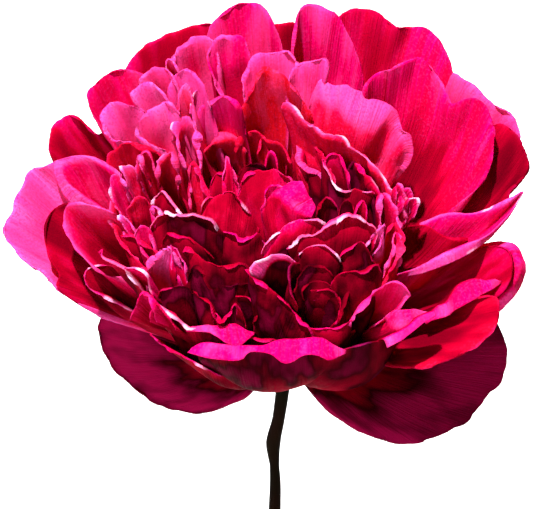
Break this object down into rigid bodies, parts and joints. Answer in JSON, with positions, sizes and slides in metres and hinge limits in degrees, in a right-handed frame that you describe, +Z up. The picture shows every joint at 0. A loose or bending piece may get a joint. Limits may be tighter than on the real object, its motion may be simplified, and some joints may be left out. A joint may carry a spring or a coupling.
{
  "type": "potted peony",
  "caption": "Potted double peony: a full crimson-pink bloom with broad guard petals on a leafy stem, low leafy side shoots, soil and a plain clay pot.",
  "frame": {"origin": "centre of the pot's foot, on the surface that it stands on", "axes": "+Z up, from the pot's foot to the bloom; the bloom's front looks along -Y; +X to the right seen from the front"},
  "size_m": [0.3667, 0.2757, 0.56],
  "materials": {
    "clay": "matte",
    "earth": "matte",
    "petal": "satin",
    "leaf": "satin"
  },
  "bodies": {
    "root": {"pot": "clay", "soil": "earth", "bloom": "petal", "flower_stem": "leaf", "left_shoot": "leaf", "right_shoot": "leaf"}
  },
  "joints": []
}
